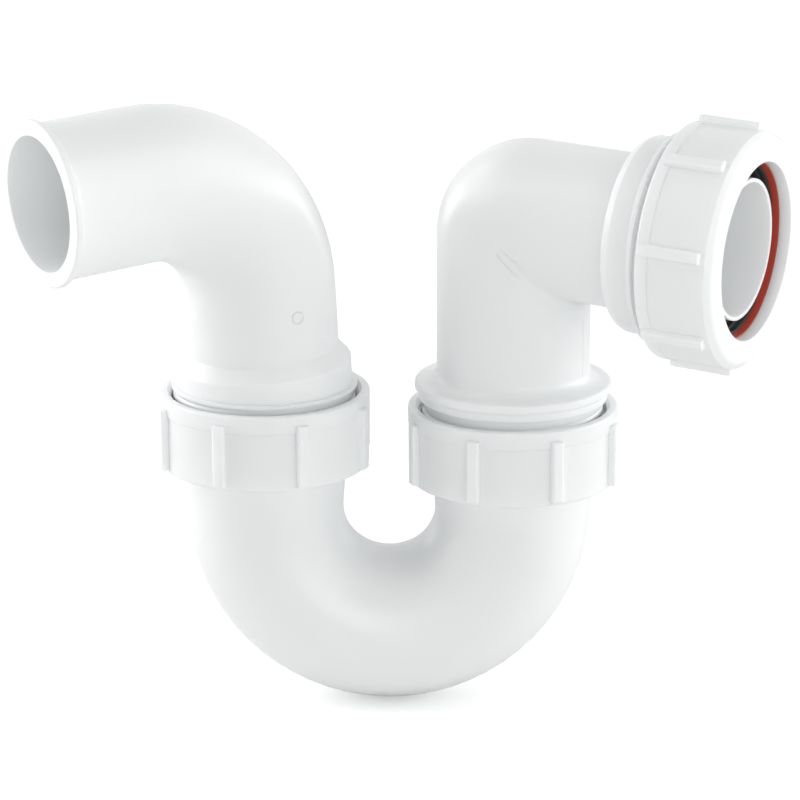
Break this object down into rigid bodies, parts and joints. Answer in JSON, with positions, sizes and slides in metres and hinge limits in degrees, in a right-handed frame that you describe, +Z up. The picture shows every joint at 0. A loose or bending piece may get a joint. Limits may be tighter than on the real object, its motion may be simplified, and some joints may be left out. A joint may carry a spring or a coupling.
{
  "type": "tubular trap",
  "caption": "Tubular swivel P-trap for a waste pipe: a U-bend joined by ribbed union nuts to a swept inlet elbow and a tight outlet elbow with a compression outlet.",
  "frame": {"origin": "centre of the hole in the compression nut's front face, where the waste pipe goes in", "axes": "+Z up, +X from the inlet leg to the outlet leg, both elbows swung towards -Y"},
  "size_m": [0.2025, 0.0853, 0.1641],
  "materials": {
    "white_pp": "satin",
    "black_rubber": "matte",
    "red_pp": "satin"
  },
  "bodies": {
    "bend": {"u_bend": "white_pp"},
    "inlet_nut": {"inlet_union_nut": "white_pp"},
    "inlet_lift_washer": {"inlet_washer": "black_rubber"},
    "inlet_arm": {"inlet_elbow": "white_pp"},
    "outlet_nut": {"outlet_union_nut": "white_pp"},
    "outlet_lift_washer": {"outlet_washer": "black_rubber"},
    "outlet_arm": {"outlet_elbow": "white_pp", "compression_seal": "black_rubber"},
    "slip_ring": {"slip_ring": "red_pp"},
    "pipe_nut": {"compression_nut": "white_pp"}
  },
  "joints": [
    {"name": "inlet_nut_turn", "type": "hinge", "parent": "bend", "child": "inlet_nut", "pos_m": [-0.12471, 0.03095, -0.05872], "axis": [0, 0, -1], "range_deg": [0, 1260]},
    {"name": "inlet_lift", "type": "slide", "parent": "bend", "child": "inlet_lift_washer", "axis": [0, 0, 1], "range_m": [0, 0.0105]},
    {"name": "inlet_swivel", "type": "hinge", "parent": "inlet_lift_washer", "child": "inlet_arm", "pos_m": [-0.12471, 0.03095, -0.05872], "axis": [0, 0, 1], "range_deg": [-122.1, 57.9]},
    {"name": "outlet_nut_turn", "type": "hinge", "parent": "bend", "child": "outlet_nut", "pos_m": [-0.05971, 0.03095, -0.06302], "axis": [0, 0, -1], "range_deg": [0, 1260]},
    {"name": "outlet_lift", "type": "slide", "parent": "bend", "child": "outlet_lift_washer", "axis": [0, 0, 1], "range_m": [0, 0.0105]},
    {"name": "outlet_swivel", "type": "hinge", "parent": "outlet_lift_washer", "child": "outlet_arm", "pos_m": [-0.05971, 0.03095, -0.06302], "axis": [0, 0, 1], "range_deg": [-62.6, 117.4]},
    {"name": "slip_ring_slide", "type": "slide", "parent": "outlet_arm", "child": "slip_ring", "axis": [0.8872, -0.4599, -0.0384], "range_m": [0, 0.012]},
    {"name": "pipe_nut_turn", "type": "hinge", "parent": "slip_ring", "child": "pipe_nut", "pos_m": [0, 0, 0], "axis": [0.8872, -0.4599, -0.0384], "range_deg": [0, 1440]}
  ],
  "couplings": [
    {"joint": "inlet_nut_turn", "follows": "inlet_lift", "rad_per_m": 2094.4},
    {"joint": "outlet_nut_turn", "follows": "outlet_lift", "rad_per_m": 2094.4},
    {"joint": "pipe_nut_turn", "follows": "slip_ring_slide", "rad_per_m": 2094.4}
  ]
}
